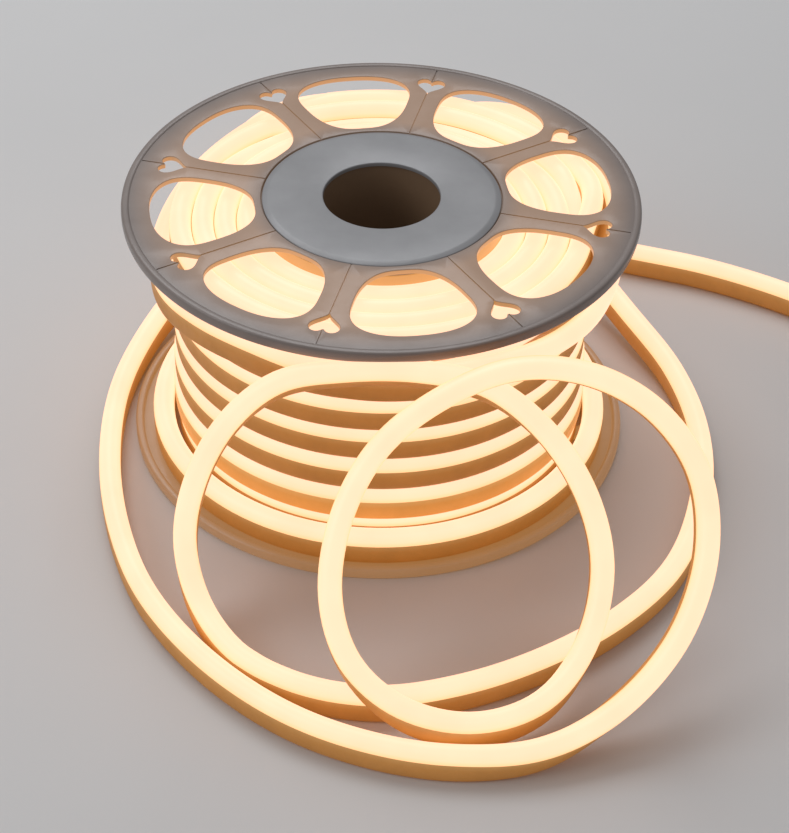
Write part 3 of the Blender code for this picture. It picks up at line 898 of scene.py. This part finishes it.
def cut_bars(mesh, bars, low, high):
    """Cuts straight bars, each (inner, outer, half width, turn), out of a mesh."""
    work = bmesh.new()
    for inner, outer, half, turn in bars:
        made = bmesh.ops.create_cube(work, size=1.0)["verts"]
        size = Matrix.Diagonal((outer - inner, 2 * half, high - low, 1.0))
        place = Matrix.Translation(((inner + outer) / 2, 0.0, (low + high) / 2))
        bmesh.ops.transform(
            work, matrix=Matrix.Rotation(turn, 4, "Z") @ place @ size, verts=made
        )
    tool = new_object("groove_bars", mesh_from("groove_bars", work))
    obj = new_object("plate_blank", mesh)
    cut = obj.modifiers.new("grooves", "BOOLEAN")
    cut.object = tool
    cut.solver = "EXACT"
    bpy.context.view_layer.update()
    result = evaluated_mesh(obj, "grooved_plate")
    bpy.data.objects.remove(tool, do_unlink=True)
    return result


def rim_section(flange):
    """The rim's rounded section, from the plate's outer face round to its inner face."""
    middle_r, middle_z = flange.radius - flange.rim_width / 2, flange.rim_height / 2
    points = []
    for i in range(28):
        a = math.tau * i / 28
        across = math.copysign(abs(math.cos(a)) ** 0.6, math.cos(a))
        along = math.copysign(abs(math.sin(a)) ** 0.6, math.sin(a))
        points.append((middle_r + flange.rim_width / 2 * across, middle_z + middle_z * along))
    return points


def flange_mesh(name, flange, hub):
    """One flange, its outer face down: plate with windows, hearts and grooves, rim, pad, spigot."""
    rim_inner = flange.radius - flange.rim_width
    recess = hub.cap_radius + 0.0006
    low, high = flange.rim_proud, flange.rim_proud + flange.plate
    inner, outer = recess + HUB_MARGIN, rim_inner - RIM_MARGIN
    window = window_outline((inner + outer) / 2, (outer - inner) / 2, flange.window_half_angle)
    heart = heart_outline(outer, flange.heart_width, flange.heart_length)
    holes = [circle_outline(recess)]
    bars = []
    for i in range(8):
        turn = math.radians(45.0 * i)
        holes.append([Matrix.Rotation(turn, 2) @ p for p in window])
        turn += math.radians(22.5)
        holes.append([Matrix.Rotation(turn, 2) @ p for p in heart])
        tip, notch = min(p.x for p in heart), heart[0].x
        bars.append((hub.cap_radius, tip + GROOVE_HALF, GROOVE_HALF, turn))
        bars.append((notch - GROOVE_HALF, rim_inner + 0.0002, GROOVE_HALF, turn))
    plate = plate_mesh(circle_outline(rim_inner + 0.0010), holes, low, high, flange.edge)
    plate = cut_bars(plate, bars, -0.002, low + GROOVE_DEPTH)
    work = bmesh.new()
    work.from_mesh(plate)
    lathe(work, rim_section(flange), 256)
    seat, pad, spigot = 0.0025, 0.0055, 0.0135
    ring = [
        (0.0500, seat, 0.0002),
        (hub.core_radius, seat, 0.0),
        (hub.core_radius, pad, 0.0002),
        (0.0579, pad, 0.0),
        (0.0579, spigot, 0.0004),
        (0.0542, spigot, 0.0004),
        (0.0542, pad, 0.0),
        (0.0500, pad, 0.0002),
    ]
    lathe(work, filleted(ring), 192)
    mesh = mesh_from(name, work)
    for face in mesh.polygons:
        # The walls of windows and hearts take the second material, a copy of the plastic with
        # painted strip light
        level, reach = face.center.z, face.center.xy.length
        if abs(face.normal.z) < 0.6 and recess + 0.001 < reach < rim_inner - 0.001:
            face.material_index = int(low + 0.0007 < level < high)
    return smoothed(mesh)


# ---------------------------------------------------------------- operators


class NEONREEL_OT_studio(bpy.types.Operator):
    """Lays the pale floor, hangs the softboxes and sets up the camera"""

    bl_idname = "neonreel.studio"
    bl_label = "Studio"

    def execute(self, context):
        studio = context.scene.neon_studio
        work = bmesh.new()
        bmesh.ops.create_grid(work, x_segments=8, y_segments=8, size=4.0)
        floor = new_object("studio_floor", mesh_from("studio_floor", work, recalculate=False))
        base = tuple(studio.floor_colour)
        paper = Finish("floor_paper", base, 0.75)
        paper.set("Base Color", paper.ramp(paper.noise(5.0, 3.0), mottled(base, 0.97, 1.0)))
        paper.bump((paper.noise(700.0, 2.0), 0.12, 0.0002))
        floor.data.materials.append(paper.material)

        world = bpy.data.worlds.new("even_daylight")
        world.use_nodes = True
        background = world.node_tree.nodes["Background"]
        background.inputs["Color"].default_value = (0.94, 0.965, 1.0, 1.0)
        background.inputs["Strength"].default_value = studio.daylight
        context.scene.world = world
        target = Vector((0.0, -0.05, 0.10))
        for name, place, size, power in (
            ("overhead_softbox", (-0.3, 0.9, 1.7), 1.4, studio.key_power),
            ("left_softbox", (-1.5, -0.5, 1.1), 1.0, studio.side_power),
        ):
            light = bpy.data.lights.new(name, "AREA")
            light.shape = "SQUARE"
            light.size = size
            light.energy = power
            light.color = (0.97, 0.98, 1.0)
            lamp = bpy.data.objects.new(name, light)
            context.scene.collection.objects.link(lamp)
            lamp.location = place
            aim = (target - lamp.location).to_track_quat("-Z", "Y")
            lamp.rotation_euler = aim.to_euler()

        data = bpy.data.cameras.new("camera")
        data.sensor_fit = "HORIZONTAL"
        data.sensor_width = 36.0
        data.lens = studio.lens
        camera = bpy.data.objects.new("camera", data)
        context.scene.collection.objects.link(camera)
        out = studio.distance * math.cos(studio.elevation)
        up = studio.distance * math.sin(studio.elevation)
        offset = (
            Matrix.Rotation(studio.roll, 4, "Z")
            @ Matrix.Rotation(studio.pan, 4, "Y")
            @ Matrix.Rotation(studio.tilt, 4, "X")
        )
        camera.matrix_world = (
            Matrix.Translation((0.0, -out, REEL_HEIGHT + up))
            @ Matrix.Rotation(math.pi / 2 - studio.elevation, 4, "X")
            @ offset.transposed()
        )
        context.scene.camera = camera
        context.scene.view_settings.view_transform = "Standard"
        return {"FINISHED"}


class NEONREEL_OT_flanges(bpy.types.Operator):
    """Moulds the two flanges with their windows, hearts and grooves"""

    bl_idname = "neonreel.flanges"
    bl_label = "Flanges"

    def execute(self, context):
        flange, hub = context.scene.neon_flange, context.scene.neon_hub
        face, roughness = tuple(flange.face), flange.roughness
        # Painted strip light on the upper flange, strongest over the winding under it
        bands = [(0.060, 0.25), (0.070, 0.9), (0.108, 0.9), (0.119, 0.35), (0.126, 0.0)]
        upper = moulded_plastic(
            "upper_flange_plastic", face, roughness, 0.5, flange.painted_strip_glow, bands
        )
        # Painted strip light on the lower flange, on which the winding stands
        bands = [(0.060, 1.0), (0.118, 1.0), (0.130, 0.8)]
        lower = moulded_plastic(
            "lower_flange_plastic", face, roughness, 0.5, 1.7 * flange.painted_strip_glow, bands
        )
        upright = Matrix.Rotation(flange.window_turn, 4, "Z")
        # A lit copy of the flange plastic for the openings' walls, with painted strip light
        bands = [(0.060, 0.9), (0.085, 1.0), (0.120, 0.8)]
        wall = moulded_plastic("opening_wall", face, roughness, 0.5, flange.painted_wall_glow, bands)
        for level, place, plastic in (
            ("lower", upright, lower), ("upper", upright @ TURNED_OVER, upper)
        ):
            mesh = flange_mesh(f"{level}_flange_moulding", flange, hub)
            mesh.transform(place)
            piece = new_object(mesh.name, mesh, plastic, wall)
            finished(piece, [f"{level}_flange"])
        return {"FINISHED"}


class NEONREEL_OT_hub_caps(bpy.types.Operator):
    """Turns the two hub caps with their bevel, bore and snap collar"""

    bl_idname = "neonreel.hub_caps"
    bl_label = "Hub caps"

    def execute(self, context):
        hub = context.scene.neon_hub
        plastic = moulded_plastic("hub_cap_moulding", tuple(hub.cap_colour), 0.44, 0.4)
        thickness, clip, lip = 0.0022, 0.0497, 0.0505
        section = filleted(
            [
                (hub.bore_radius, 0.0, 0.0007),
                (hub.cap_radius - hub.bevel_width, 0.0, 0.0008),
                (hub.cap_radius, hub.bevel_depth, 0.0005),
                (hub.cap_radius, thickness, 0.0001),
                (clip, thickness, 0.0),
                (clip, 0.0058, 0.0),
                (lip, 0.0066, 0.0003),
                (clip, 0.0083, 0.0003),
                (clip - 0.0030, 0.0083, 0.0003),
                (clip - 0.0030, thickness, 0.0003),
                (0.0360, thickness, 0.0003),
                (0.0360, 0.0120, 0.0004),
                (0.0333, 0.0120, 0.0004),
                (0.0333, thickness, 0.0),
                (hub.bore_radius, thickness, 0.0002),
            ]
        )
        for level, place in (("lower", Matrix.Identity(4)), ("upper", TURNED_OVER)):
            work = bmesh.new()
            lathe(work, section, 192)
            mesh = smoothed(mesh_from(f"{level}_hub_disc", work, place))
            piece = new_object(mesh.name, mesh, plastic)
            finished(piece, [f"{level}_hub_cap"])
        return {"FINISHED"}


class NEONREEL_OT_core(bpy.types.Operator):
    """Turns the barrel under the winding and the tube round the spindle"""

    bl_idname = "neonreel.core"
    bl_label = "Barrel and spindle tube"

    def execute(self, context):
        hub = context.scene.neon_hub
        base = tuple(hub.core_colour)
        # Painted strip light on the barrel's outer face, glowing under the winding
        bands = [(0.0585, 0.0), (0.0612, 1.0)]
        barrel = moulded_plastic("barrel_moulding", base, 0.5, 0.5, 0.55, bands)
        tube = moulded_plastic("tube_moulding", base, 0.5)
        for name, node, plastic, inner, outer, low in (
            ("winding_barrel_shell", "winding_barrel", barrel, 0.0582, hub.core_radius, 0.0058),
            ("spindle_sleeve", "spindle_tube", tube, 0.0304, 0.0330, 0.0025),
        ):
            high = REEL_HEIGHT - low
            corners = [(inner, low), (outer, low), (outer, high), (inner, high)]
            work = bmesh.new()
            lathe(work, filleted([(r, z, 0.0004) for r, z in corners]), 192)
            piece = new_object(name, smoothed(mesh_from(name, work)), plastic)
            finished(piece, [node])
        return {"FINISHED"}


class NEONREEL_OT_wound_strip(bpy.types.Operator):
    """Winds the strip's layers, turn by turn, with the turn that leaves the reel"""

    bl_idname = "neonreel.wound_strip"
    bl_label = "Wound strip"

    def execute(self, context):
        scene = context.scene
        lines = winding_lines(scene.neon_strip, scene.neon_winding, scene.neon_flange)
        channel = opaque_silicone("wound_silicone", scene.neon_strip, painted_low_light=True)
        piece = swept_strip("neon_winding", lines, scene.neon_strip, channel, 24)
        finished(piece, ["wound_strip"])
        return {"FINISHED"}


class NEONREEL_OT_free_strip(bpy.types.Operator):
    """Lays the free strip in its loops and puts the moulded cap on its end"""

    bl_idname = "neonreel.free_strip"
    bl_label = "Free strip and end cap"

    def execute(self, context):
        strip = context.scene.neon_strip
        fine = curve_through([Vector(p) / 1000 for p, _ in ROUTE], 12)
        ups = [Vector(up) for _, up in ROUTE]
        fine_ups = [a.lerp(b, k / 12) for a, b in zip(ups, ups[1:]) for k in range(12)]
        places, squared = evenly(fine, [*fine_ups, ups[-1]], strip.spacing)
        half = (strip.channel_height + strip.dome_height) / 2
        for place, up in zip(places, squared):
            reach = half * up.z + strip.width / 2 * math.sqrt(max(0.0, 1 - up.z**2))
            place.z = max(place.z, reach + FIT / 2)
        lines = [(places, squared, False)]
        channel = opaque_silicone("opaque_silicone", strip)
        piece = swept_strip("neon_free_run", lines, strip, channel)
        finished(piece, ["free_strip"])

        boot = Finish("boot_silicone", (0.62, 0.57, 0.50), 0.45)
        shades = [(0.3, (0.57, 0.52, 0.45)), (0.7, (0.66, 0.61, 0.54))]
        boot.set("Base Color", boot.ramp(boot.noise(90.0, 3.0), shades))
        boot.bump((boot.noise(1200.0, 2.0), 0.2, 0.00008))
        work = bmesh.new()
        bmesh.ops.create_cube(work, size=1.0)
        size = (0.0140, strip.width + 0.0018, strip.channel_height + strip.dome_height + 0.0009)
        bmesh.ops.scale(work, vec=size, verts=work.verts)
        lower = [e for e in work.edges if max(v.co.z for v in e.verts) < 0]
        above = [e for e in work.edges if e not in lower]
        bmesh.ops.bevel(work, geom=above, offset=0.0024, segments=6, affect="EDGES")
        heading = places[-1] - places[-2]
        heading.z = 0.0
        heading.normalize()
        middle = places[-1] + heading * (FIT + size[0] / 2)
        middle.z = size[2] / 2 + FIT / 3
        spin = Matrix.Rotation(math.atan2(heading.y, heading.x), 4, "Z")
        mesh = smoothed(mesh_from("neon_end_boot", work, Matrix.Translation(middle) @ spin))
        cap = new_object(mesh.name, mesh, boot.material)
        finished(cap, ["strip_end_cap"])

        return {"FINISHED"}


class NEONREEL_PT_panel(bpy.types.Panel):
    """Lists the reel's pieces"""

    bl_idname = "NEONREEL_PT_panel"
    bl_label = "Neon Strip Reel"
    bl_space_type = "VIEW_3D"
    bl_region_type = "UI"
    bl_category = "Neon Reel"

    def draw(self, context):
        for operator in OPERATORS:
            self.layout.operator(operator.bl_idname)


SETTINGS = {
    "neon_strip": NeonStripSettings,
    "neon_winding": WindingSettings,
    "neon_flange": FlangeSettings,
    "neon_hub": HubSettings,
    "neon_studio": StudioSettings,
}
OPERATORS = (
    NEONREEL_OT_studio,
    NEONREEL_OT_free_strip,
    NEONREEL_OT_wound_strip,
    NEONREEL_OT_flanges,
    NEONREEL_OT_hub_caps,
    NEONREEL_OT_core,
)


def register():
    for group in (*SETTINGS.values(), *OPERATORS, NEONREEL_PT_panel):
        bpy.utils.register_class(group)
    for name, group in SETTINGS.items():
        setattr(bpy.types.Scene, name, PointerProperty(type=group))


def unregister():
    for name in SETTINGS:
        delattr(bpy.types.Scene, name)
    for group in (NEONREEL_PT_panel, *reversed(OPERATORS), *SETTINGS.values()):
        bpy.utils.unregister_class(group)


def main():
    register()
    bpy.ops.neonreel.studio()
    bpy.ops.neonreel.free_strip()
    bpy.ops.neonreel.wound_strip()
    bpy.ops.neonreel.flanges()
    bpy.ops.neonreel.hub_caps()
    bpy.ops.neonreel.core()


if __name__ == "__main__":
    main()
